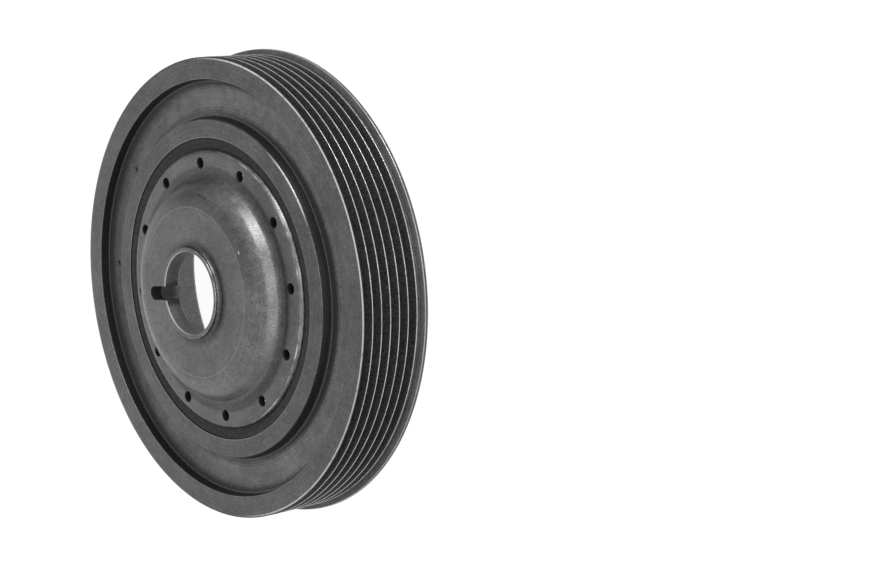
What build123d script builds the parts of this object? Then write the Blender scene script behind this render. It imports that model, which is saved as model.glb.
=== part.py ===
"""A crankshaft pulley for a six-ribbed belt, which is also a torsional damper.

Three pieces sit one inside the other. A pressed and turned steel hub carries a rubber ring,
and the rubber carries a heavy iron ring with the belt grooves. The pulley lies on its back:
Z is the axis it spins about and points out of the front, and the origin is the centre of the
back plane that the rim rests on. The keyway points along -X. All sizes are in millimetres.
"""

import math
import os

from build123d import *

# Hub, from the bore outwards
bore_radius = 13.5
bore_chamfer = 0.4
boss_wall = 1.5
boss_height = 1.7
boss_fillet = 1.1
boss_edge_fillet = 0.3
keyway_width = 4.5
keyway_reach = 11.0
centre_thickness = 4.0
dome_width = 22.3
dome_height = 8.05
dome_slope = 62.0
dome_wall = 2.6
dome_shoulder_radius = 7.9
dome_foot_radius = 3.0
dome_inner_radius = 4.0
dome_mouth_radius = 2.5
flange_width = 8.75
flange_thickness = 3.4
flange_proud = 0.8
flange_edge_radius = 1.2
flange_hole_count = 12
flange_hole_radius = 1.75
flange_hole_inset = 4.35
relief_width = 1.6
relief_depth = 0.9
relief_slope = 0.3
relief_land = 0.2
cup_wall = 2.55
cup_flare = 0.7
cup_draft = 0.15
cup_foot_radius = 1.2
cup_recess = 1.25
cup_chamfer = (0.8, 1.3)

# Rubber ring
rubber_thickness = 3.75
rubber_thickness_back = 2.75
rubber_front_recess = 0.95
rubber_back_recess = 2.0
rubber_dish = 0.3

# Iron ring: the inner ring that the rubber grips
inner_ring_wall = 6.0
inner_ring_wall_back = 5.45
inner_ring_recess = 1.2
inner_ring_chamfer = (1.05, 1.2)

# Iron ring: the web between the inner ring and the rim
web_width = 13.0
web_thickness = 10.9
web_front_depth = 4.8
web_corner_radius = 3.4
web_corner_run = 1.8
wall_draft = 0.75
rim_draft = 0.3
ledge_width = 0.6
ledge_rise = 1.9
blind_hole_radius = 5.5
blind_hole_depth = 6.0
blind_hole_inset = 6.3
blind_hole_angle = 23.0
drill_point_angle = 118.0

# Iron ring: the rim and its belt grooves
rim_wall = 7.2
rim_wall_back = 7.6
rim_chamfer = (0.85, 1.35)
edge_break = 0.3
groove_count = 6
groove_pitch = 3.56
groove_angle = 40.0
groove_depth = 2.7
groove_mouth = 3.0
first_groove = 1.75
last_crest = 1.1
step_width = 0.85
step_depth = 0.9
lip_width = 1.3
lip_height = 1.7

# Heights, counted from the back plane up to the front
grooves_width = (groove_count - 1) * groove_pitch
step_top = lip_width + step_width
rim_width = step_top + last_crest + groove_mouth / 2 + grooves_width + first_groove
web_front = rim_width - web_front_depth
web_back = web_front - web_thickness
flange_front = rim_width + flange_proud
flange_back = flange_front - flange_thickness
dome_front = flange_front + dome_height
dome_back = dome_front - centre_thickness
boss_front = dome_front + boss_height

# Radii, counted from the bore outwards
boss_radius = bore_radius + boss_wall
dome_radius = boss_radius + dome_width
hub_radius = dome_radius + flange_width
cup_mouth_radius = hub_radius + cup_flare
cup_inner_radius = hub_radius - cup_wall
cup_mouth_inner = cup_inner_radius + cup_draft
ring_bore = hub_radius + rubber_thickness
ring_bore_back = cup_mouth_radius + rubber_thickness_back
ring_outer = ring_bore + inner_ring_wall
ring_outer_back = ring_bore_back + inner_ring_wall_back
rim_bore = ring_outer + web_width
crest_radius = rim_bore + rim_wall
rim_bore_back = crest_radius - rim_wall_back
lip_radius = crest_radius + lip_height


def hub_wall_radius(height):
    """Radius of the hub's outer wall, which leans out a little towards the mouth of the cup."""
    share = (flange_front - height) / (flange_front - cup_recess)
    return hub_radius + cup_flare * share


def ring_bore_radius(height):
    """Radius of the iron ring's bore, which leans in a little towards the back."""
    share = (rim_width - height) / (rim_width - inner_ring_recess)
    return ring_bore + (ring_bore_back - ring_bore) * share


def places(outline):
    """The points of an outline of (radius, height, corner fillet) triples."""
    return [(radius, height) for radius, height, fillet_radius in outline]


def fillets(outline):
    """The corner fillets of an outline of (radius, height, corner fillet) triples."""
    return [fillet_radius for radius, height, fillet_radius in outline]


def belt_grooves():
    """The outline of the grooves, front to back, each a V with a narrow flat floor."""
    floor = groove_mouth / 2 - groove_depth * math.tan(math.radians(groove_angle / 2))
    root_radius = crest_radius - groove_depth
    outline = []
    for groove in range(groove_count):
        middle = rim_width - first_groove - groove * groove_pitch
        outline += [
            (crest_radius, middle + groove_mouth / 2, 0),
            (root_radius, middle + floor, 0),
            (root_radius, middle - floor, 0),
            (crest_radius, middle - groove_mouth / 2, 0),
        ]
    return outline


# Iron ring. The half section runs round the rim from its front face, over the grooves and the
# lip to the back face, and returns through the web's back, the inner ring and the web's front.
rim_front_ledge = rim_bore - rim_draft
rim_back_ledge = rim_bore_back - rim_draft
ring_front_ledge = ring_outer + wall_draft
lip_step_radius = crest_radius - step_depth
pulley_outline = [
    (crest_radius, rim_width, 0),
    *belt_grooves(),
    (crest_radius, step_top, 0),
    (lip_step_radius, step_top, 0),
    (lip_step_radius, lip_width, 0),
    (lip_radius, lip_width, edge_break),
    (lip_radius, 0, edge_break),
    (rim_bore_back + rim_chamfer[0], 0, 0),
    (rim_bore_back, rim_chamfer[1], 0),
    (rim_back_ledge, web_back - ledge_rise, 0),
    (rim_back_ledge - ledge_width, web_back - ledge_rise, 0),
    (rim_back_ledge - ledge_width - web_corner_run, web_back, web_corner_radius),
    (ring_outer_back, web_back, web_corner_radius),
    (ring_outer_back, inner_ring_recess + inner_ring_chamfer[1], 0),
    (ring_outer_back - inner_ring_chamfer[0], inner_ring_recess, 0),
    (ring_bore_back, inner_ring_recess, 0),
    (ring_bore, rim_width, 0),
    (ring_outer, rim_width, edge_break),
    (ring_front_ledge, web_front + ledge_rise, 0),
    (ring_front_ledge + ledge_width, web_front + ledge_rise, 0),
    (ring_front_ledge + ledge_width + web_corner_run, web_front, web_corner_radius),
    (rim_front_ledge - ledge_width - web_corner_run, web_front, web_corner_radius),
    (rim_front_ledge - ledge_width, web_front + ledge_rise, 0),
    (rim_front_ledge, web_front + ledge_rise, 0),
    (rim_bore, rim_width, edge_break),
]

with BuildPart() as pulley_ring:
    with BuildSketch(Plane.XZ):
        with BuildLine():
            FilletPolyline(places(pulley_outline), radius=fillets(pulley_outline), close=True)
        make_face()
    revolve(axis=Axis.Z)

    # Blind drilling in the back of the web, which takes weight out of the heavy side
    drill_point = blind_hole_radius / math.tan(math.radians(drill_point_angle / 2))
    with PolarLocations(rim_bore_back - blind_hole_inset, 1, start_angle=blind_hole_angle):
        with Locations((0, 0, web_back)):
            Cylinder(blind_hole_radius, 2 * blind_hole_depth, mode=Mode.SUBTRACT)
        with Locations((0, 0, web_back + blind_hole_depth)):
            Cone(
                blind_hole_radius,
                0,
                drill_point,
                align=(Align.CENTER, Align.CENTER, Align.MIN),
                mode=Mode.SUBTRACT,
            )

# Rubber ring. Its two walls are the hub's wall and the iron ring's bore, and both its ends are
# dished, as rubber is after it has been pressed in.
rubber_front = rim_width - rubber_front_recess
rubber_back = inner_ring_recess + rubber_back_recess
rubber_front_middle = (hub_wall_radius(rubber_front) + ring_bore_radius(rubber_front)) / 2
rubber_back_middle = (hub_wall_radius(rubber_back) + ring_bore_radius(rubber_back)) / 2

with BuildPart() as damper_rubber:
    with BuildSketch(Plane.XZ):
        with BuildLine():
            front_end = ThreePointArc(
                (hub_wall_radius(rubber_front), rubber_front),
                (rubber_front_middle, rubber_front - rubber_dish),
                (ring_bore_radius(rubber_front), rubber_front),
            )
            back_end = ThreePointArc(
                (hub_wall_radius(rubber_back), rubber_back),
                (rubber_back_middle, rubber_back + rubber_dish),
                (ring_bore_radius(rubber_back), rubber_back),
            )
            Line(front_end @ 0, back_end @ 0)
            Line(front_end @ 1, back_end @ 1)
        make_face()
    revolve(axis=Axis.Z)

# Hub. The half section runs from the bore over the boss, the dome and the flange, down the
# outside of the cup, round its mouth and back along the inside.
slope_run = 1 / math.tan(math.radians(dome_slope))
dome_wall_run = dome_wall / math.sin(math.radians(dome_slope))
dome_top_radius = dome_radius - dome_height * slope_run
dome_mouth = dome_radius - dome_wall_run + flange_thickness * slope_run
dome_hollow = dome_mouth - (dome_back - flange_back) * slope_run
relief_outer = cup_inner_radius - cup_foot_radius - relief_land
relief_inner = relief_outer - relief_width
relief_floor = flange_back + relief_depth
hub_outline = [
    (bore_radius + bore_chamfer, dome_back, 0),
    (bore_radius, dome_back + bore_chamfer, 0),
    (bore_radius, boss_front - bore_chamfer, 0),
    (bore_radius + bore_chamfer, boss_front, 0),
    (boss_radius, boss_front, boss_edge_fillet),
    (boss_radius, dome_front, boss_fillet),
    (dome_top_radius, dome_front, dome_shoulder_radius),
    (dome_radius, flange_front, dome_foot_radius),
    (hub_radius, flange_front, flange_edge_radius),
    (cup_mouth_radius, cup_recess, 0),
    (cup_mouth_inner + cup_chamfer[0], cup_recess, 0),
    (cup_mouth_inner, cup_recess + cup_chamfer[1], 0),
    (cup_inner_radius, flange_back, cup_foot_radius),
    (relief_outer, flange_back, 0),
    (relief_outer - relief_slope, relief_floor, 0),
    (relief_inner + relief_slope, relief_floor, 0),
    (relief_inner, flange_back, 0),
    (dome_mouth, flange_back, dome_mouth_radius),
    (dome_hollow, dome_back, dome_inner_radius),
]

with BuildPart() as hub:
    with BuildSketch(Plane.XZ):
        with BuildLine():
            FilletPolyline(places(hub_outline), radius=fillets(hub_outline), close=True)
        make_face()
    revolve(axis=Axis.Z)

    # Small holes through the flange and the corner behind it, one in line with the keyway
    with BuildSketch(Plane.XY.offset(flange_front)):
        with PolarLocations(hub_radius - flange_hole_inset, flange_hole_count):
            Circle(flange_hole_radius)
    extrude(amount=-flange_thickness - cup_foot_radius, mode=Mode.SUBTRACT)

    # Keyway from the bore into the dome, cut right through, with a round end
    keyway_end = bore_radius + keyway_reach - keyway_width / 2
    with BuildSketch(Plane.XY.offset(boss_front)):
        with Locations((-keyway_end / 2, 0)):
            SlotCenterToCenter(keyway_end, keyway_width)
    extrude(amount=dome_back - boss_front, mode=Mode.SUBTRACT)

os.makedirs("parts", exist_ok=True)
pulley_ring.part.label = "pulley_ring"
export_step(pulley_ring.part, "parts/pulley_ring.step")
damper_rubber.part.label = "damper_rubber"
export_step(damper_rubber.part, "parts/damper_rubber.step")
hub.part.label = "hub"
export_step(hub.part, "parts/hub.step")

print("belt crests at radius", round(crest_radius, 2), "rim width", round(rim_width, 2))
print("lip radius", round(lip_radius, 2), "overall height", round(boss_front, 2))
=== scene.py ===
# %% [markdown]
# # A crankshaft pulley, dressed for a photograph
#
# The pulley is a torsional damper: a heavy iron ring with belt grooves hangs on a domed steel
# hub by a ring of rubber. Its solids come from the CAD model. This lesson gives them the fine
# edges, the turned and cast skins and the worn corners that a camera sees, and lights them on a
# white table. Blender counts in metres, and a machinist thinks in millimetres, so every size of
# the pulley is written in millimetres and multiplied by MM where it enters a mesh.

# %% Setting out
import math

import bmesh
import bpy
from mathutils import Matrix, Vector


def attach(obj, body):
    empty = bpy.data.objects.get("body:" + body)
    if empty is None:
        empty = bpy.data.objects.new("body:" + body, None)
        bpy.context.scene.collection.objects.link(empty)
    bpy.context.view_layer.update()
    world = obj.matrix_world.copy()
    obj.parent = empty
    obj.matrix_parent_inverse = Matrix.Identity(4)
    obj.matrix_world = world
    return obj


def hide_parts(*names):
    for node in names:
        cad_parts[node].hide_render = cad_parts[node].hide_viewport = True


MM = 0.001
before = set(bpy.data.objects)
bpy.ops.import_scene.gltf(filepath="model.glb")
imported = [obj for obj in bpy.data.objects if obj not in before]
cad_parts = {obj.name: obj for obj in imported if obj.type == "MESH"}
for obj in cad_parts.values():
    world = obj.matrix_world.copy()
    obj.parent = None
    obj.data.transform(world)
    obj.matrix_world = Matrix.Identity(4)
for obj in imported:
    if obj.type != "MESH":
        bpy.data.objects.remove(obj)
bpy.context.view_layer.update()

# %% [markdown]
# ## The camera
#
# The photograph looks at the pulley's front from its side, about 48 degrees off the spin axis,
# with a lens of 77 mm. The pulley lies on its back here, so the camera is rolled until the axis
# runs across the picture as it does in the photograph. The pulley sits left of the middle, which
# is where the aim point comes in: it says where in the picture the centre of the front face
# falls. Three turns give the direction: round the spin axis, down from it, and the roll.

# %% The camera
picture_width = 886
picture_height = 572
lens_mm = 76.58
sensor_mm = 36.0
camera_distance = 618.8
camera_swing = math.radians(5.49)
camera_tilt = math.radians(48.25)
camera_roll = math.radians(-8.95)
front_centre_pixel = (214.95, 289.59)
front_height = 24.3

turn = (
    Matrix.Rotation(camera_swing, 4, "Z")
    @ Matrix.Rotation(camera_tilt, 4, "Y")
    @ Matrix.Rotation(camera_roll, 4, "Z")
)
pixels_per_unit = lens_mm / sensor_mm * picture_width
across = (front_centre_pixel[0] - picture_width / 2) / pixels_per_unit
above = (picture_height / 2 - front_centre_pixel[1]) / pixels_per_unit
to_centre = Vector((across, above, -1)) * camera_distance
eye = Vector((0, 0, front_height)) - turn.to_3x3() @ to_centre

camera_data = bpy.data.cameras.new("camera")
camera_data.lens = lens_mm
camera_data.sensor_width = sensor_mm
camera_data.clip_start = 0.01
camera_data.clip_end = 50
camera = bpy.data.objects.new("camera", camera_data)
bpy.context.scene.collection.objects.link(camera)
camera.matrix_world = Matrix.Translation(eye * MM) @ turn
bpy.context.scene.camera = camera
print("camera at", [round(x) for x in eye], "mm")

# %% [markdown]
# ## A wire and a spin
#
# Every surface of this pulley but its holes and its keyway is turned, so each piece starts as
# half a section, drawn as a flat wire beside the Z axis and spun once round it. The spin joins
# its last copy to its first, and the points that it leaves on top of each other on the axis are
# welded. Then the faces are told which way is out.

# %% Wire, spin and shading
WELD = 0.0005 * MM
SHARP = math.radians(30)


def draw_wire(outline, closed):
    """Draws the corners of an outline, each a radius and a height first, as a flat wire."""
    shape = bmesh.new()
    corners = [shape.verts.new((corner[0] * MM, 0, corner[1] * MM)) for corner in outline]
    ends = corners[1:] + corners[:1] if closed else corners[1:]
    for start, end in zip(corners, ends):
        shape.edges.new((start, end))
    return shape


def spin_round(shape, steps):
    """Spins a wire once round the Z axis into a skin that faces outwards."""
    bmesh.ops.spin(
        shape, geom=shape.verts[:] + shape.edges[:], axis=(0, 0, 1), cent=(0, 0, 0),
        angle=math.tau, steps=steps, use_merge=True,
    )
    bmesh.ops.remove_doubles(shape, verts=shape.verts, dist=WELD)
    bmesh.ops.recalc_face_normals(shape, faces=shape.faces)


def shade(shape):
    """Shades the surfaces smooth and keeps the corners sharp."""
    for face in shape.faces:
        face.smooth = True
    for edge in shape.edges:
        edge.smooth = edge.calc_face_angle(0) < SHARP


def make_object(name, shape):
    """Makes an object of a bmesh, at the origin."""
    mesh = bpy.data.meshes.new(name)
    shape.to_mesh(mesh)
    shape.free()
    piece = bpy.data.objects.new(name, mesh)
    bpy.context.scene.collection.objects.link(piece)
    return piece


# %% [markdown]
# ## Turning on a lathe
#
# A corner of a section is a radius, a height and a rounding. The rounding is made with a bevel
# of the corner while the section is still a wire: a bevel of offset d leaves an arc of radius d
# divided by the tangent of half the turn there. Small roundings get fewer steps than wide ones.

# %% The lathe
SPIN_STEPS = 360
ARC_STEP = math.radians(9)
SMALL_ARC_STEP = math.radians(22)
SMALL_ARC = 0.6


def corner_turn(before, here, after):
    """The angle by which an outline turns at a corner."""
    arriving = Vector(here[:2]) - Vector(before[:2])
    leaving = Vector(after[:2]) - Vector(here[:2])
    return arriving.angle(leaving)


def lathe(name, outline):
    """Spins a closed outline of (radius, height, rounding) corners into a solid ring."""
    shape = draw_wire(outline, closed=True)
    for index, corner in enumerate(shape.verts[:]):
        rounding = outline[index][2]
        angle = corner_turn(outline[index - 1], outline[index], outline[(index + 1) % len(outline)])
        step = SMALL_ARC_STEP if rounding < SMALL_ARC else ARC_STEP
        bmesh.ops.bevel(
            shape, geom=[corner], affect="VERTICES", offset_type="OFFSET",
            offset=rounding * math.tan(angle / 2) * MM,
            segments=max(2, round(angle / step)), profile=0.5, material=-1,
        )
    wire = len(shape.verts)
    spin_round(shape, SPIN_STEPS)
    shade(shape)
    piece = make_object(name, shape)
    print(name, "section of", wire, "points,", len(piece.data.polygons), "faces")
    return piece


def true_faces(piece):
    """Lets the wide faces set the shading, so that only the roundings between them curve."""
    weighting = piece.modifiers.new("true_faces", "WEIGHTED_NORMAL")
    weighting.mode = "FACE_AREA"
    weighting.weight = 100
    weighting.keep_sharp = True


# %% [markdown]
# ## Drilling and slotting
#
# Holes come out with a boolean. Each drill is itself turned: a shank with a small flare where it
# meets the surface, which leaves the broken edge that a deburred hole has. All the drills of a
# piece are joined into one cutter. The manifold solver is used because both meshes are closed,
# and then it cuts a hundred thousand faces in under a second.

# %% The drill
def drill_shape(outline, steps, where):
    """A solid turned drill with its poles closed, moved to its place."""
    shape = draw_wire(outline, closed=False)
    spin_round(shape, steps)
    bmesh.ops.transform(shape, matrix=where, verts=shape.verts)
    return shape


def cut(piece, cutters):
    """Takes a list of closed bmesh cutters out of a piece and keeps the result as its mesh."""
    tool = bmesh.new()
    for cutter in cutters:
        scratch = bpy.data.meshes.new("cutter")
        cutter.to_mesh(scratch)
        cutter.free()
        tool.from_mesh(scratch)
        bpy.data.meshes.remove(scratch)
    tool_object = make_object("cutter", tool)
    boolean = piece.modifiers.new("cut", "BOOLEAN")
    boolean.operation = "DIFFERENCE"
    boolean.solver = "MANIFOLD"
    boolean.object = tool_object
    bpy.context.view_layer.update()
    evaluated = piece.evaluated_get(bpy.context.evaluated_depsgraph_get())
    result = bpy.data.meshes.new_from_object(evaluated)
    piece.modifiers.clear()
    old_mesh, piece.data = piece.data, result
    bpy.data.meshes.remove(old_mesh)
    bpy.data.objects.remove(tool_object)
    shape = bmesh.new()
    shape.from_mesh(piece.data)
    bmesh.ops.remove_doubles(shape, verts=shape.verts, dist=WELD)
    shade(shape)
    open_edges = sum(1 for edge in shape.edges if len(edge.link_faces) != 2)
    shape.to_mesh(piece.data)
    shape.free()
    print(piece.name, "cut:", len(piece.data.polygons), "faces,", open_edges, "open edges")


# %% [markdown]
# ## The iron ring's belt side
#
# The ring is one casting: rim, web and inner ring. Six V-grooves run round the rim, each 3 mm
# wide and 2.7 mm deep, and a lip behind them keeps the belt on. The crests between the grooves
# are half a millimetre wide, and wear has taken a part of each on its back side. They are what
# catches the light, so they are real geometry here, and so is the worn fall of the rim's front
# corner. The grooves repeat, so a loop draws them.

# %% The belt side
edge_rounding = 0.3
crest_radius = 76.0
groove_count = 6
groove_pitch = 3.56
groove_half_mouth = 1.5
groove_half_floor = 0.52
groove_depth = 2.7
first_groove = 1.75
crest_rounding = 0.1
crest_relief = 0.3
root_rounding = 0.25
worn_edge_radius = 75.9
worn_edge_fall = 0.18
worn_edge_width = 0.8
worn_edge_rounding = 0.04
first_mouth = front_height - first_groove + groove_half_mouth - 0.02
track_back = 2.15
lip_foot = 75.1
lip_front = 1.3
lip_radius = 77.7

belt_side = [
    (worn_edge_radius - worn_edge_width, front_height, edge_rounding),
    (worn_edge_radius, front_height - worn_edge_fall, worn_edge_rounding),
]
for groove in range(groove_count):
    middle = front_height - first_groove - groove * groove_pitch
    if groove == 0:
        belt_side.append((worn_edge_radius, first_mouth, worn_edge_rounding))
    else:
        belt_side.append((crest_radius, middle + groove_half_mouth + crest_relief, crest_rounding))
    belt_side += [
        (crest_radius - groove_depth, middle + groove_half_floor, root_rounding),
        (crest_radius - groove_depth, middle - groove_half_floor, root_rounding),
        (crest_radius, middle - groove_half_mouth, crest_rounding),
    ]
belt_side += [
    (crest_radius, track_back, 0.12),
    (lip_foot, track_back, 0.1),
    (lip_foot, lip_front, 0.15),
    (lip_radius, lip_front, edge_rounding),
    (lip_radius, 0, edge_rounding),
]
print("belt side of", len(belt_side), "corners")

# %% [markdown]
# ## The iron ring's web and inner ring
#
# The web is recessed on both sides. A narrow ledge steps down to it, and wide fillets carry it
# into the rim and into the inner ring, as the sand mould needs them. The inner ring's bore
# narrows a little towards the back, so the rubber that is pressed into it can't creep out.

# %% The web and the inner ring
web_front = 19.5
web_back = 8.6
web_fillet = 3.4
ledge_front = 21.4
ledge_back = 6.7
ledge_width = 0.6
ledge_slope = 1.8
ledge_rounding = 0.15
inner_ledge = 56.55
outer_ledge = 68.5
back_ledge = 68.1
rim_mouth = 68.8
rim_back_mouth = 69.25
inner_ring_front = 55.8
inner_ring_back = 54.95
inner_back = 1.2
inner_back_edge = 53.9
grip_front = 49.8
grip_back = 49.5

back_side = [
    (rim_back_mouth, 0, 0.15),
    (rim_back_mouth - 0.85, 1.35, 0.2),
    (back_ledge, ledge_back, ledge_rounding),
    (back_ledge - ledge_width, ledge_back, ledge_rounding),
    (back_ledge - ledge_width - ledge_slope, web_back, web_fillet),
    (inner_ring_back, web_back, web_fillet),
    (inner_ring_back, inner_back + 1.2, 0.2),
    (inner_back_edge, inner_back, 0.15),
    (grip_back, inner_back, 0.1),
]
front_side = [
    (grip_front, front_height, 0.1),
    (inner_ring_front, front_height, edge_rounding),
    (inner_ledge, ledge_front, ledge_rounding),
    (inner_ledge + ledge_width, ledge_front, ledge_rounding),
    (inner_ledge + ledge_width + ledge_slope, web_front, web_fillet),
    (outer_ledge - ledge_width - ledge_slope, web_front, web_fillet),
    (outer_ledge - ledge_width, ledge_front, ledge_rounding),
    (outer_ledge, ledge_front, ledge_rounding),
    (rim_mouth, front_height, 0.2),
]
pulley_ring = lathe("iron_ring", belt_side + back_side + front_side)

# %% [markdown]
# A blind drilling in the back of the web takes weight out of the heavy side of the casting. It
# is as deep as its drill went, so it ends in the drill's point.

# %% The blind drilling
blind_radius = 5.5
blind_depth = 6.0
blind_place = 62.1
blind_angle = math.radians(23)
blind_flare = 0.4
blind_steps = 96
shank_clear = 4
point_half_angle = math.radians(59)
drill_point = blind_radius / math.tan(point_half_angle)
blind_outline = [
    (0, blind_depth + drill_point),
    (blind_radius, blind_depth),
    (blind_radius, blind_flare),
    (blind_radius + blind_flare, 0),
    (blind_radius + blind_flare, -shank_clear),
    (0, -shank_clear),
]
blind_spot = (
    Matrix.Rotation(blind_angle, 4, "Z")
    @ Matrix.Translation(Vector((blind_place, 0, web_back)) * MM)
)
cut(pulley_ring, [drill_shape(blind_outline, blind_steps, blind_spot)])
true_faces(pulley_ring)
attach(pulley_ring, "root")
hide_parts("pulley_ring")

# %% [markdown]
# ## The rubber ring
#
# The rubber is pressed into the gap between the iron and the hub. In front it stands higher at
# its outer wall than at its inner one, and its back is dished the same all round. Each end is
# one wide rounding of its middle corner.

# %% The rubber ring
rubber_inner_front = 23.35
rubber_outer_front = 24.0
rubber_back = 3.2
lip_rounding = 0.2
front_dish = 8
back_dish = 6
rubber_outline = [
    (46.11, rubber_inner_front, lip_rounding),
    (47.95, rubber_inner_front - 0.05, front_dish),
    (49.79, rubber_outer_front, lip_rounding),
    (49.53, rubber_back, lip_rounding),
    (48.1, rubber_back + 0.3, back_dish),
    (46.69, rubber_back, lip_rounding),
]
damper_rubber = lathe("rubber_ring", rubber_outline)
true_faces(damper_rubber)
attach(damper_rubber, "root")
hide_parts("damper_rubber")

# %% [markdown]
# ## The hub
#
# The hub is a forged steel cup, then turned. From the bore outwards it has a boss, a flat, a
# wide soft shoulder down to the flange, and the wall of the cup behind the flange. The soft
# shoulder carries the photograph's largest highlight, so its arc is as large as it was measured:
# 7.9 mm. Behind the small holes the flange is relieved by a shallow ring groove.

# %% The hub
bore_radius = 13.5
bore_break = 0.4
boss_radius = 15.0
boss_front = 34.85
dome_radius = 33.02
dome_front = 33.15
dome_back = 29.15
dome_shoulder = 7.9
flange_radius = 46.05
flange_front = 25.1
flange_back = 21.7
cup_radius = 46.75
cup_back = 1.25
relief_outside = 42.1
relief_inside = 40.5
relief_depth = 0.9
relief_slope = 0.3
fine_rounding = 0.1
hub_outline = [
    (bore_radius + bore_break, dome_back, fine_rounding),
    (bore_radius, dome_back + bore_break, fine_rounding),
    (bore_radius, boss_front - bore_break, fine_rounding),
    (bore_radius + bore_break, boss_front, fine_rounding),
    (boss_radius, boss_front, 0.3),
    (boss_radius, dome_front, 1.1),
    (dome_radius, dome_front, dome_shoulder),
    (37.3, flange_front, 3.0),
    (flange_radius, flange_front, 1.9),
    (cup_radius, cup_back, fine_rounding),
    (44.45, cup_back, fine_rounding),
    (43.65, 2.55, 0.3),
    (43.5, flange_back, 1.2),
    (relief_outside, flange_back, fine_rounding),
    (relief_outside - relief_slope, flange_back + relief_depth, 0.3),
    (relief_inside + relief_slope, flange_back + relief_depth, 0.3),
    (relief_inside, flange_back, 0.2),
    (36.16, flange_back, 2.5),
    (32.2, dome_back, 4.0),
]
hub = lathe("domed_hub", hub_outline)

# %% [markdown]
# Twelve small holes go through the flange. The keyway runs from the bore into the dome, cut
# right through by an end mill, which leaves its end round. The mill is a turned cutter like the
# drills, and the slot is its path: the same cutter stretched from the bore to the keyway's end.

# %% Holes and keyway
hole_count = 12
hole_radius = 1.75
hole_place = 41.7
hole_break = 0.15
hole_steps = 32
drill_run_out = 1.2
hole_outline = [
    (0, flange_back - drill_run_out),
    (hole_radius, flange_back - drill_run_out),
    (hole_radius, flange_front - hole_break),
    (hole_radius + 2 * hole_break, flange_front + hole_break),
    (0, flange_front + hole_break),
]
hole_turn = math.tau / hole_count
cutters = []
for hole in range(hole_count):
    spot = Matrix.Rotation(hole * hole_turn, 4, "Z") @ Matrix.Translation((hole_place * MM, 0, 0))
    cutters.append(drill_shape(hole_outline, hole_steps, spot))

keyway_half = 2.25
keyway_end = 24.5
keyway_break = 0.12
mill_steps = 64
mill_run_out = 2
mill_outline = [
    (0, dome_back - mill_run_out),
    (keyway_half, dome_back - mill_run_out),
    (keyway_half, dome_front - keyway_break),
    (keyway_half + keyway_break, dome_front),
    (keyway_half + keyway_break, boss_front + mill_run_out),
    (0, boss_front + mill_run_out),
]
mill = drill_shape(mill_outline, mill_steps, Matrix.Identity(4))
for vertex in mill.verts:
    if vertex.co.x < -WELD:
        vertex.co.x -= (keyway_end - keyway_half) * MM
cutters.append(mill)
cut(hub, cutters)
true_faces(hub)
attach(hub, "root")
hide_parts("hub")

# %% [markdown]
# ## Writing a finish down
#
# A finish is a tree of shader nodes. On a turned part nearly everything depends on two numbers:
# how far a spot is from the spin axis and how high it is. The recipe below starts from Object
# coordinates, makes millimetres of them, and offers those two numbers and a few plain steps. A
# step returns a socket, so steps are written one inside another as sums are. A mask is a socket
# that is one where something is so, and zero elsewhere.

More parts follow.
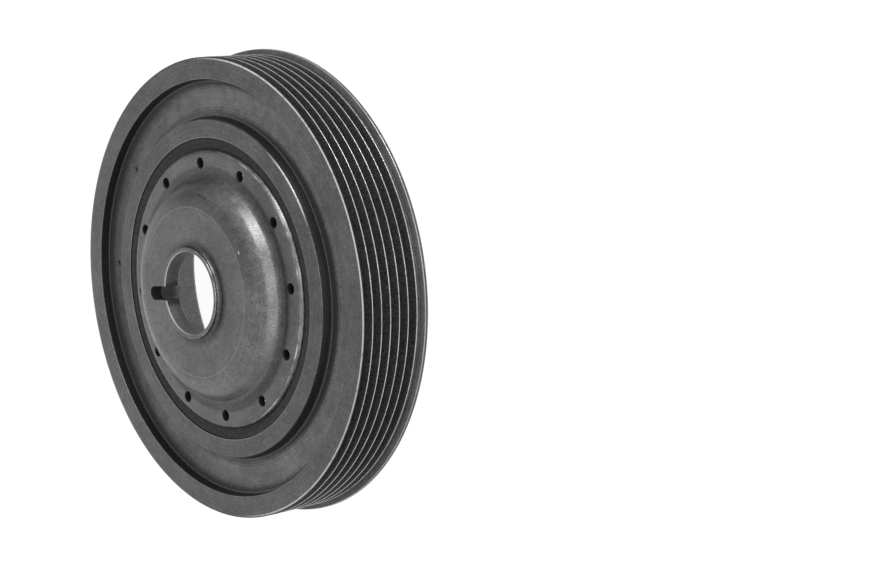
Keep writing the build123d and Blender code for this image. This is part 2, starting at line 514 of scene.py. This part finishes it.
# %% A recipe
class Recipe:
    """A finish built node by node. All places and sizes in it are millimetres."""

    def __init__(self, name):
        self.material = bpy.data.materials.new(name)
        self.material.use_nodes = True
        self.tree = self.material.node_tree
        self.shader = self.tree.nodes["Principled BSDF"]
        spot = self.add("ShaderNodeTexCoord", output="Object")
        self.place = self.add("ShaderNodeVectorMath", {0: spot, "Scale": 1 / MM}, operation="SCALE")
        self.x = self.add("ShaderNodeSeparateXYZ", {0: self.place}, "X")
        self.y = self.add("ShaderNodeSeparateXYZ", {0: self.place}, "Y")
        self.height = self.add("ShaderNodeSeparateXYZ", {0: self.place}, "Z")
        self.radius = self.length(self.place)

    def add(self, kind, values=None, output=0, **settings):
        """Adds one node, gives it numbers or other nodes' sockets, and returns an output."""
        node = self.tree.nodes.new(kind)
        for setting, choice in settings.items():
            setattr(node, setting, choice)
        for socket, value in (values or {}).items():
            if isinstance(value, bpy.types.NodeSocket):
                self.tree.links.new(value, node.inputs[socket])
            else:
                node.inputs[socket].default_value = value
        return node.outputs[output]

    def math(self, operation, first, second=0.0):
        """One sum of two numbers."""
        return self.add("ShaderNodeMath", {0: first, 1: second}, operation=operation)

    def length(self, vector):
        """How far a point lies from the Z axis."""
        level = self.add("ShaderNodeVectorMath", {0: vector, 1: (1, 1, 0)}, operation="MULTIPLY")
        return self.add("ShaderNodeVectorMath", {0: level}, "Value", operation="LENGTH")

    def product(self, *factors):
        """All the factors multiplied."""
        total = factors[0]
        for factor in factors[1:]:
            total = self.math("MULTIPLY", total, factor)
        return total

    def most(self, *masks):
        """The largest of several masks."""
        total = masks[0]
        for mask in masks[1:]:
            total = self.math("MAXIMUM", total, mask)
        return total

    def inverse(self, mask):
        """Zero where the mask is one, and one where it is zero."""
        return self.math("SUBTRACT", 1.0, mask)

    def darker(self, mask, amount):
        """A factor that is one, and less by that amount where the mask is one."""
        return self.inverse(self.product(mask, amount))

    def blend(self, share, below, above):
        """Goes from below to above as the share goes from zero to one."""
        return self.add("ShaderNodeMix", {0: share, 2: below, 3: above})

    def ramp(self, value, start, end, low=0.0, high=1.0):
        """Goes softly from low to high while the value goes from start to end."""
        values = {"Value": value, "From Min": start, "From Max": end, "To Min": low, "To Max": high}
        return self.add("ShaderNodeMapRange", values, interpolation_type="SMOOTHSTEP")

    def band(self, value, start, end, soft):
        """One while the value is between start and end, zero outside."""
        rise = self.ramp(value, start - soft, start)
        return self.product(rise, self.ramp(value, end, end + soft, 1, 0))

    def toward(self, side, start, end):
        """Rises across the piece, on the side that lies so many degrees round from X."""
        along = (math.cos(math.radians(side)), math.sin(math.radians(side)), 0)
        values = {0: self.place, 1: along}
        reach = self.add("ShaderNodeVectorMath", values, "Value", operation="DOT_PRODUCT")
        return self.ramp(reach, start, end)

    def corner(self, radius, height, reach):
        """One on a turned corner of that radius and height, zero from its reach on."""
        over = self.math("SUBTRACT", self.radius, radius)
        up = self.math("SUBTRACT", self.height, height)
        square = self.math("ADD", self.product(over, over), self.product(up, up))
        return self.ramp(self.math("SQRT", square), 0.45 * reach, reach, 1, 0)

    def corners(self, places):
        """Several turned corners, each a radius, a height, a reach and a strength."""
        masks = [self.product(self.corner(*place), strength) for *place, strength in places]
        return self.most(*masks)

    def mark(self, start, end, width):
        """One on a short straight mark seen from the front, between two (x, y) places."""
        middle = [(a + b) / 2 for a, b in zip(start, end)]
        half_length = math.dist(start, end) / 2
        slant = math.atan2(end[1] - start[1], end[0] - start[0])
        values = {0: self.place, 1: (*middle, 0)}
        moved = self.add("ShaderNodeVectorMath", values, operation="SUBTRACT")
        values = {"Vector": moved, "Angle": -slant}
        laid = self.add("ShaderNodeVectorRotate", values, rotation_type="Z_AXIS")
        along = self.math("ABSOLUTE", self.add("ShaderNodeSeparateXYZ", {0: laid}, "X"))
        beside = self.math("ABSOLUTE", self.add("ShaderNodeSeparateXYZ", {0: laid}, "Y"))
        return self.product(
            self.ramp(along, 0.6 * half_length, half_length + width, 1, 0),
            self.ramp(beside, 0.3 * width, width, 1, 0),
        )

    def noise(self, size, detail=2.0):
        """Cloudy noise about 0.5, with lumps of that size."""
        values = {"Vector": self.place, "Scale": 1 / size, "Detail": detail}
        return self.add("ShaderNodeTexNoise", values)

    def turning(self, pitch):
        """Noise in rings round the axis, as a lathe tool leaves."""
        along = self.math("ADD", self.radius, self.product(self.height, 0.7))
        values = {"W": along, "Scale": 1 / pitch, "Detail": 2.0}
        return self.add("ShaderNodeTexNoise", values, noise_dimensions="1D")

    def uneven(self, noise, amount):
        """A factor about one that follows a noise."""
        return self.ramp(noise, 0.2, 0.8, 1 - amount, 1 + amount)

    def bump(self, lumps, depth):
        """Turns a noise into relief of that depth."""
        values = {"Height": lumps, "Distance": depth * MM}
        return self.add("ShaderNodeBump", values, "Normal")

    def finish(self, **sockets):
        """Gives the shader its sockets, such as Base_Color or Roughness."""
        for name, value in sockets.items():
            socket = self.shader.inputs[name.replace("_", " ")]
            if isinstance(value, bpy.types.NodeSocket):
                self.tree.links.new(value, socket)
            else:
                socket.default_value = value
        print(self.material.name, len(self.tree.nodes), "nodes")
        return self.material


def dress(piece, material):
    """Gives a piece one material."""
    piece.data.materials.clear()
    piece.data.materials.append(material)


# %% [markdown]
# ## The iron: where the coat and the painted shade are
#
# The casting was dipped in black and then turned where it runs. The grooves and the corners
# of the web are painted near black: a black coat that isn't metal, and painted shade where these
# hollows lie in shadow. The middle of the web is left grey, further in on the keyway's side than
# on the other, where the painted shade beside the inner ring is wider, so the radius is shifted
# along X before the grey middle is drawn on it. Past its bright line the rim's front edge is
# painted dark too, as painted shade where it turns into the first groove, and the face in front
# of the lip is a dull grey.

# %% The iron's coat and painted shade
coat_back = 2.2
coat_front = 23.9
bright_line_inside = 75.15
bright_line_outside = 75.55

iron = Recipe("coated_iron")
web_zone = iron.product(
    iron.band(iron.radius, inner_ring_back - 0.15, rim_mouth - 0.05, 0.1),
    iron.band(iron.height, coat_back, coat_front, 0.25),
)
# The grey middle of the web is drawn on radii shifted along X, so the painted shade beside the
# inner ring is wider on the side away from the keyway, and the painted shade by the rim is wider on
# the keyway's side.
from_inner_ring_shade_shifted = iron.math("SUBTRACT", iron.radius, iron.ramp(iron.x, -20, 62, -1.3, 0.75))
from_rim_shade_shifted = iron.math("SUBTRACT", iron.radius, iron.ramp(iron.x, -60, 25, 0, 1.1))
rubbed_and_unshaded = iron.product(
    iron.ramp(from_inner_ring_shade_shifted, 57.2, 59.2),
    iron.ramp(from_rim_shade_shifted, 63.3, 67.6, 1, 0),
)
# Painted shade in the grooves, and past the bright line where the rim's edge turns into the first
# groove.
grooves = iron.product(
    iron.band(iron.radius, crest_radius - groove_depth - 0.8, crest_radius - 0.26, 0.12),
    iron.band(iron.height, coat_back, coat_front, 0.1),
)
shade_past_bright_line = iron.product(
    iron.ramp(iron.radius, bright_line_outside, bright_line_outside + 0.1),
    iron.band(iron.height, coat_front, front_height - 0.1, 0.1),
)
groove_shade_zone = iron.most(grooves, shade_past_bright_line)
coat_and_painted_shade = iron.most(iron.product(web_zone, iron.inverse(rubbed_and_unshaded)), groove_shade_zone)
lip_face = iron.product(
    iron.band(iron.radius, lip_foot - 0.1, lip_radius - 0.3, 0.15),
    iron.band(iron.height, lip_front - 0.2, track_back - 0.05, 0.05),
)

# %% [markdown]
# ## The iron: where it is worn, and its painted highlights
#
# Belts and handling have worn the crests and every corner that stands proud down to bare bright
# metal. The front edge shows it as a bright line, painted only on the side away from the keyway,
# where the key lamp glints: wear and a painted highlight. The inner ring has a painted highlight
# on its outer edge, a short bright streak where that lamp glints. A coarse noise breaks all of
# them up a little.

# %% The iron's worn places and painted highlights
crest_wear = 0.66
crests = iron.product(
    iron.ramp(iron.radius, crest_radius - 0.15, crest_radius - 0.05),
    iron.band(iron.height, 3.0, 23.6, 0.1),
    crest_wear,
)
# The rim's front edge: bare metal, painted bright only on the side away from the keyway where the
# key lamp glints. This is wear and a painted highlight.
edge_wear_and_highlight = iron.product(
    iron.band(iron.radius, bright_line_inside, bright_line_outside, 0.12),
    iron.ramp(iron.height, front_height - 0.28, front_height - 0.22),
    iron.ramp(iron.x, -5, 25),
    iron.ramp(iron.y, -40, 10, 0.7, 1.0),
)
# A painted highlight: a short bright streak on the inner ring's outer edge, where the key lamp
# glints.
painted_ring_highlight = iron.product(
    iron.corner(inner_ring_front - 0.15, front_height, 0.34),
    iron.mark((50, 25), (40, 39), 8),
    0.8,
)
worn_corners = iron.corners([
    (rim_mouth, front_height, 0.3, 0.12),
    (outer_ledge - ledge_width + 0.05, ledge_front, 0.25, 0.12),
    (inner_ledge + ledge_width + 0.05, ledge_front, 0.22, 0.12),
    (grip_front + 0.05, front_height, 0.28, 0.2),
    (crest_radius, track_back, 0.2, 0.2),
    (lip_radius - 0.05, lip_front - 0.05, 0.32, 0.35),
    (lip_radius - 0.05, 0.05, 0.32, 0.3),
    (rim_back_mouth, 0, 0.3, 0.35),
    (inner_back_edge, inner_back, 0.3, 0.35),
    (grip_back, inner_back, 0.3, 0.35),
])
broken_up = iron.ramp(iron.noise(1.4, 3), 0.3, 0.48, 0.55, 1)
# Bare metal where worn, together with the painted highlights of the front edge and the inner ring.
worn_and_highlit = iron.product(iron.most(crests, edge_wear_and_highlight, painted_ring_highlight, worn_corners), broken_up)

# %% [markdown]
# ## The iron: mixing the finish
#
# Now the finishes are laid over each other in the order they came: the grey iron with its sandy
# grain, the coat with its painted shade, two casting pits in the web, and the wear with its
# painted highlights on top. Four noises of different sizes make the grey uneven. Coat isn't
# metal, so the metal share falls where the coat and the painted shade are.

# %% Coated iron
TURNED_GREY = 0.102
WEB_GREY = 0.175
LIP_GREY = 0.11
COAT_AND_SHADE_GREY = 0.008
GROOVE_SHADE_GREY = 0.02
BARE_AND_HIGHLIGHT_GREY = 0.6
PIT_WIDTH = 0.7
LOW_GLOSS = 0.25

iron_grain = iron.noise(0.5)
iron_lumps = iron.noise(2.6, 3)
iron_lines = iron.turning(0.5)
iron_grey = iron.product(
    iron.blend(lip_face, iron.blend(web_zone, TURNED_GREY, WEB_GREY), LIP_GREY),
    iron.uneven(iron_grain, 0.3),
    iron.uneven(iron_lumps, 0.16),
    iron.uneven(iron.noise(14), 0.14),
    iron.uneven(iron_lines, 0.14),
)
# Near black for the coat and for the painted shade of the web's corners and the grooves.
coat_and_shade_grey = iron.product(
    iron.blend(groove_shade_zone, COAT_AND_SHADE_GREY, GROOVE_SHADE_GREY),
    iron.uneven(iron_grain, 0.95),
)
pits = iron.most(
    iron.mark((-46.6, 42.4), (-46.1, 41.3), PIT_WIDTH),
    iron.mark((-63.7, 10.2), (-63.2, 8.8), PIT_WIDTH),
)
iron_grey = iron.blend(coat_and_painted_shade, iron_grey, coat_and_shade_grey)
iron_grey = iron.blend(iron.product(pits, web_zone), iron_grey, COAT_AND_SHADE_GREY)
iron_grey = iron.blend(worn_and_highlit, iron_grey, BARE_AND_HIGHLIGHT_GREY)
iron_metal = iron.inverse(iron.most(coat_and_painted_shade, iron.product(lip_face, 0.85)))
iron_metal = iron.blend(worn_and_highlit, iron_metal, 1.0)
iron_rough = iron.blend(web_zone, iron.ramp(iron_lumps, 0.3, 0.7, 0.38, 0.48), 0.62)
iron_rough = iron.blend(coat_and_painted_shade, iron_rough, 0.42)
iron_rough = iron.blend(lip_face, iron_rough, 0.7)
iron_rough = iron.blend(worn_and_highlit, iron_rough, 0.34)
cast_skin = iron.blend(web_zone, iron.product(iron_lines, 0.2), iron_lumps)
dress(pulley_ring, iron.finish(
    Base_Color=iron_grey, Metallic=iron_metal, Roughness=iron_rough,
    Specular_IOR_Level=LOW_GLOSS, Normal=iron.bump(cast_skin, 0.05),
))

# %% [markdown]
# ## The rubber's finish
#
# Rubber is a matt black that is never quite black: its surface blooms to a dusty dark grey. It
# was moulded in a turned tool, so it shows faint rings too.

# %% Moulded rubber
RUBBER_GREY = 0.042
RUBBER_GLOSS = 0.08

rubber = Recipe("moulded_rubber")
mould_rings = rubber.turning(0.6)
rubber_grey = rubber.product(
    RUBBER_GREY,
    rubber.uneven(rubber.noise(1.2, 3), 0.25),
    rubber.uneven(mould_rings, 0.25),
)
dress(damper_rubber, rubber.finish(
    Base_Color=rubber_grey, Roughness=0.9, Specular_IOR_Level=RUBBER_GLOSS,
    Normal=rubber.bump(mould_rings, 0.03),
))

# %% [markdown]
# ## The steel: holes, keyway and bore
#
# The insides of the holes and of the keyway are painted black, and the bore a little darker than
# the dome: painted shade in these openings. The twelve holes are found with one mask: the place
# is turned back by whole twelfths of a turn until it is beside the first hole. The keyway's mask
# measures how far a place is from the line along its middle, so it ends round, as the mill did.

# %% The steel's openings and their painted shade
steel = Recipe("phosphated_steel")
front = steel.ramp(steel.height, flange_front - 0.5, flange_front - 0.1)

bearing = steel.math("ARCTAN2", steel.y, steel.x)
nearest_hole = steel.math("SNAP", steel.math("ADD", bearing, hole_turn / 2), hole_turn)
turned_back = steel.add(
    "ShaderNodeVectorRotate",
    {"Vector": steel.place, "Angle": steel.product(nearest_hole, -1)},
    rotation_type="Z_AXIS",
)
from_hole = steel.add(
    "ShaderNodeVectorMath", {0: turned_back, 1: (hole_place, 0, 0)}, operation="SUBTRACT",
)
in_hole = steel.product(
    steel.ramp(steel.length(from_hole), hole_radius + 0.05, hole_radius + 0.2, 1, 0),
    steel.ramp(steel.height, flange_back - 0.2, flange_back - 0.1),
)
past_keyway = steel.math("MAXIMUM", steel.math("SUBTRACT", keyway_half - keyway_end, steel.x), 0)
from_keyway = steel.add("ShaderNodeCombineXYZ", {"X": past_keyway, "Y": steel.y})
in_keyway = steel.product(
    steel.ramp(steel.length(from_keyway), keyway_half + 0.02, keyway_half + 0.12, 1, 0),
    steel.ramp(steel.x, -bore_radius, -bore_radius + 0.2, 1, 0),
)
bore_wall = steel.product(
    steel.ramp(steel.radius, bore_radius + 0.1, bore_radius + 0.2, 1, 0),
    steel.ramp(steel.height, dome_back - 0.15, dome_back + 0.05),
)
# Painted shade: the insides of the holes and the keyway are near black, and the bore wall is a
# little darker.
painted_opening_shade = steel.most(in_hole, in_keyway, steel.product(bore_wall, 0.2))

# %% [markdown]
# ## The steel: painted shade, painted light and scratches
#
# The foot of the dome, the foot of the boss and the bore and hollow beside the keyway are painted
# dark: painted shade in these corners and hollows. Round the boss's foot it reaches further out on
# the side away from the keyway. A patch high on the dome's shoulder, on the side of the strongest
# lamp, is painted darker, and the shoulder's side by the low front lamp is painted paler: painted
# shade and painted light. Two short scratches lie on the shoulder.

# %% The steel's painted shade, painted light and scratches
# Painted shade: the bore and the hollow beside the keyway are painted darker.
shade_beside_keyway = steel.product(
    steel.band(steel.y, -3, 2.2, 2.5),
    steel.ramp(steel.x, -12.6, -13),
    steel.ramp(steel.height, 8, 12),
    steel.most(bore_wall, steel.inverse(front)),
)
# Painted shade in the fillet at the dome's foot, and round the boss's foot, where it reaches
# further out on the side away from the keyway.
dome_foot_shade = steel.product(steel.band(steel.radius, 37.9, 39.8, 1.5), front)
from_boss_shade_shifted = steel.math("SUBTRACT", steel.radius, steel.ramp(steel.x, -5, 12, 0, 1))
boss_foot_shade = steel.product(
    steel.ramp(steel.radius, boss_radius - 0.1, boss_radius),
    steel.ramp(from_boss_shade_shifted, boss_radius + 0.6, boss_radius + 3.1, 1, 0),
    steel.ramp(steel.height, boss_front - 0.55, boss_front - 0.15, 1, 0),
)
# Painted shade on the shoulder next to the key lamp's highlight, and painted light on the shoulder
# by the low front lamp.
painted_shade_patch = steel.product(
    steel.band(steel.radius, 28.6, 31.6, 2.0), steel.toward(58, 12, 28), front,
)
painted_light_patch = steel.product(
    steel.band(steel.radius, 30, 36, 2.0), steel.toward(-60, 12, 28), front,
)
scratches = steel.most(
    steel.mark((5.8, 32.0), (9.0, 30.6), 0.25),
    steel.mark((8.1, 31.3), (11.2, 29.6), 0.3),
)

# %% [markdown]
# ## The steel: where it is bright
#
# Handling has polished the edges of the boss, of the bore and of the cup's mouth, in flakes. The
# flange's rounded edge is worn in two fine lines, painted bright mostly on the side away from the
# keyway, where the lamps glint: wear and a painted highlight. On the dome there are a faint
# bright ring and one bright nick.

# %% The steel's worn places and painted highlight
old_ring = steel.product(steel.band(steel.radius, 27.8, 28.1, 0.15), front)
bore_edge = steel.corner(bore_radius + 0.18, boss_front - 0.17, 0.34)
# The flange's edge lines are worn bare, and they are a painted highlight, bright mostly on the side
# away from the keyway.
flange_wear_and_highlight = steel.product(
    steel.most(
        steel.corner(flange_radius - 0.55, flange_front - 0.5, 0.32),
        steel.corner(flange_radius, flange_front - 1.4, 0.3),
    ),
    steel.ramp(steel.x, 5, 35, 0.12, 1),
    steel.ramp(steel.noise(6, 6), 0.42, 0.66, 0.06, 0.7),
)
nick = steel.product(steel.mark((27.0, 12.9), (27.2, 12.0), 0.35), front)
polished_corners = steel.corners([
    (boss_radius, boss_front, 0.3, 0.3),
    (cup_radius, cup_back, 0.4, 0.4),
    (44.2, 1.6, 0.6, 0.4),
    (bore_radius + 0.25, dome_back + 0.1, 0.5, 0.3),
])
flaked = steel.ramp(steel.noise(0.9, 4), 0.42, 0.58, 0.15, 1)
bright_and_highlit = steel.most(
    steel.product(old_ring, 0.1),
    steel.product(bore_edge, 0.5),
    flange_wear_and_highlight,
    steel.product(nick, 0.7),
    steel.product(polished_corners, flaked),
)

# %% [markdown]
# ## The steel: mixing the finish
#
# The hub is phosphated: a fine crystal skin, dark grey and satin. Noises make it uneven, the
# painted shade and light and the scratches take their share off it, and then the painted black of
# the openings and the bright wear with its painted highlights are laid over it.

# %% Phosphated steel
PHOSPHATE_GREY = 0.124
OPENING_SHADE_GREY = 0.011

steel_grain = steel.noise(0.5)
steel_lumps = steel.noise(2.2, 3)
steel_grey = steel.product(
    PHOSPHATE_GREY,
    steel.uneven(steel_grain, 0.28),
    steel.uneven(steel_lumps, 0.16),
    steel.uneven(steel.noise(12), 0.14),
    steel.uneven(steel.turning(0.5), 0.08),
    steel.darker(dome_foot_shade, 0.4),
    steel.darker(boss_foot_shade, 0.4),
    steel.darker(scratches, 0.5),
    steel.darker(painted_shade_patch, 0.26),
    steel.darker(painted_light_patch, -0.22),
    steel.darker(shade_beside_keyway, 0.65),
)
steel_grey = steel.blend(painted_opening_shade, steel_grey, OPENING_SHADE_GREY)
steel_grey = steel.blend(bright_and_highlit, steel_grey, BARE_AND_HIGHLIGHT_GREY)
steel_rough = steel.blend(painted_opening_shade, steel.ramp(steel_lumps, 0.3, 0.7, 0.36, 0.46), 0.9)
steel_rough = steel.blend(bright_and_highlit, steel_rough, 0.3)
crystal_skin = steel.math("ADD", steel_grain, steel_lumps)
dress(hub, steel.finish(
    Base_Color=steel_grey, Metallic=steel.inverse(painted_opening_shade), Roughness=steel_rough,
    Specular_IOR_Level=LOW_GLOSS, Normal=steel.bump(crystal_skin, 0.02),
))

# %% [markdown]
# ## The white sky
#
# The photograph's ground is pure white. The floor and the sky are white too, and for the camera
# and for mirror reflections they shine by themselves, so the lamps can stay at a plain level. The
# Light Path node tells which kind of ray is asking.

# %% The sky
SOFT_LIGHT = 0.85
bpy.context.scene.view_settings.view_transform = "Standard"


def camera_or_mirror(tree):
    """One for rays from the camera and for mirrored or refracted ones, zero for soft light."""
    path = tree.nodes.new("ShaderNodeLightPath")
    total = path.outputs["Is Camera Ray"]
    for output in ("Is Glossy Ray", "Is Transmission Ray"):
        add = tree.nodes.new("ShaderNodeMath")
        add.operation = "ADD"
        add.use_clamp = True
        tree.links.new(total, add.inputs[0])
        tree.links.new(path.outputs[output], add.inputs[1])
        total = add.outputs[0]
    return total


def mix_shaders(tree, share, below, above):
    """Goes from one shader to another as the share goes from zero to one."""
    mix = tree.nodes.new("ShaderNodeMixShader")
    tree.links.new(share, mix.inputs[0])
    tree.links.new(below, mix.inputs[1])
    tree.links.new(above, mix.inputs[2])
    return mix.outputs[0]


world = bpy.data.worlds.new("white_room")
bpy.context.scene.world = world
world.use_nodes = True
tree = world.node_tree
soft = tree.nodes["Background"]
soft.inputs["Color"].default_value = (SOFT_LIGHT, SOFT_LIGHT, SOFT_LIGHT, 1)
white = tree.nodes.new("ShaderNodeBackground")
white.inputs["Color"].default_value = (1, 1, 1, 1)
sky = mix_shaders(tree, camera_or_mirror(tree), soft.outputs[0], white.outputs[0])
tree.links.new(sky, tree.nodes["World Output"].inputs[0])

# %% [markdown]
# ## The white table
#
# A small share of the floor stays real paper, and that share keeps the pulley's shadow. Seen from
# below the floor is clear, so the pulley's back can be looked at too. The floor, the lamps and
# the card are large, so their sizes are in metres. Only the gap under the pulley is in
# millimetres.

# %% The table
PAPER_GREY = 0.85
PAPER_SHARE = 0.1
GLOW = 1.06
FLOOR_HALF = 3
FLOOR_GAP = 0.05

floor_shape = bmesh.new()
bmesh.ops.create_grid(floor_shape, x_segments=1, y_segments=1, size=FLOOR_HALF)
bmesh.ops.translate(floor_shape, verts=floor_shape.verts, vec=(0, 0, -FLOOR_GAP * MM))
floor = make_object("floor", floor_shape)

floor_material = bpy.data.materials.new("white_table")
floor_material.use_nodes = True
tree = floor_material.node_tree
paper = tree.nodes["Principled BSDF"]
paper.inputs["Base Color"].default_value = (PAPER_GREY, PAPER_GREY, PAPER_GREY, 1)
paper.inputs["Roughness"].default_value = 0.9
glow = tree.nodes.new("ShaderNodeEmission")
glow.inputs["Strength"].default_value = GLOW
share = tree.nodes.new("ShaderNodeMath")
share.operation = "MULTIPLY"
share.inputs[1].default_value = 1 - PAPER_SHARE
tree.links.new(camera_or_mirror(tree), share.inputs[0])
top = mix_shaders(tree, share.outputs[0], paper.outputs[0], glow.outputs[0])
clear = tree.nodes.new("ShaderNodeBsdfTransparent")
side = tree.nodes.new("ShaderNodeNewGeometry")
both = mix_shaders(tree, side.outputs["Backfacing"], top, clear.outputs[0])
tree.links.new(both, tree.nodes["Material Output"].inputs[0])
dress(floor, floor_material)

# %% [markdown]
# ## The lamps
#
# A curved highlight tells where its lamp stands: the lamp lies where the line from the camera
# mirrors off the surface. The dome's bright spot and the bright stretch of the rim's front edge
# both point to one lamp, low over the table on the side that the camera shows as upper right.
# Two weaker ones follow it down the right side, where they draw the dome's long pale crescent and
# the crests of the grooves. A faint one on the far side gives the dome its pale left shoulder.
# All four are softboxes of half a metre, a metre and a half away.

# %% Lamps
LAMP_DISTANCE = 1.5
LAMP_WIDTH = 0.5


def away_from_pulley(swing, rise):
    """The direction that lies so many degrees round from X and so many above the table."""
    swing, rise = math.radians(swing), math.radians(rise)
    return Vector((
        math.cos(rise) * math.cos(swing),
        math.cos(rise) * math.sin(swing),
        math.sin(rise),
    ))


def softbox(name, swing, rise, brightness):
    """A square lamp facing the pulley, so many times as bright as white paper."""
    data = bpy.data.lights.new(name, "AREA")
    data.shape = "SQUARE"
    data.size = LAMP_WIDTH
    data.energy = brightness * math.pi * LAMP_WIDTH * LAMP_WIDTH
    lamp = bpy.data.objects.new(name, data)
    bpy.context.scene.collection.objects.link(lamp)
    away = away_from_pulley(swing, rise)
    lamp.location = away * LAMP_DISTANCE
    lamp.rotation_mode = "QUATERNION"
    lamp.rotation_quaternion = away.to_track_quat("Z", "Y")
    lamp.visible_camera = False
    print(name, "at", [round(side, 2) for side in lamp.location], "m")


softbox("key", 56, 9, 26)
softbox("front", 5, 10, 10)
softbox("low_front", -35, 10, 5)
softbox("far_side", -174, 10, 1.2)

# %% [markdown]
# ## The grey card
#
# The dome is darker above, where no lamp stands: there the photographer's white room had a gap.
# A grey card makes the same gap. It shows only in reflections and throws no shadow.

# %% The grey card
CARD_GREY = 0.35
CARD_HALF_WIDTH = 0.5
CARD_SHAPE = (1, 0.5, 1)
CARD_DISTANCE = 1.2
CARD_SWING = math.radians(138)
CARD_RISE = math.radians(13)
QUARTER_TURN = math.radians(90)

card_shape = bmesh.new()
bmesh.ops.create_grid(card_shape, x_segments=1, y_segments=1, size=CARD_HALF_WIDTH)
bmesh.ops.scale(card_shape, verts=card_shape.verts, vec=CARD_SHAPE)
card_place = (
    Matrix.Rotation(CARD_SWING, 4, "Z")
    @ Matrix.Rotation(QUARTER_TURN - CARD_RISE, 4, "Y")
    @ Matrix.Translation((0, 0, CARD_DISTANCE))
    @ Matrix.Rotation(QUARTER_TURN, 4, "Z")
)
bmesh.ops.transform(card_shape, verts=card_shape.verts, matrix=card_place)
card = make_object("grey_card", card_shape)
card.visible_camera = False
card.visible_diffuse = False
card.visible_shadow = False

card_material = bpy.data.materials.new("grey_card")
card_material.use_nodes = True
tree = card_material.node_tree
card_glow = tree.nodes.new("ShaderNodeEmission")
card_glow.inputs["Color"].default_value = (CARD_GREY, CARD_GREY, CARD_GREY, 1)
tree.links.new(card_glow.outputs[0], tree.nodes["Material Output"].inputs[0])
dress(card, card_material)
print("grey card from", [round(side, 2) for side in card.data.vertices[0].co])
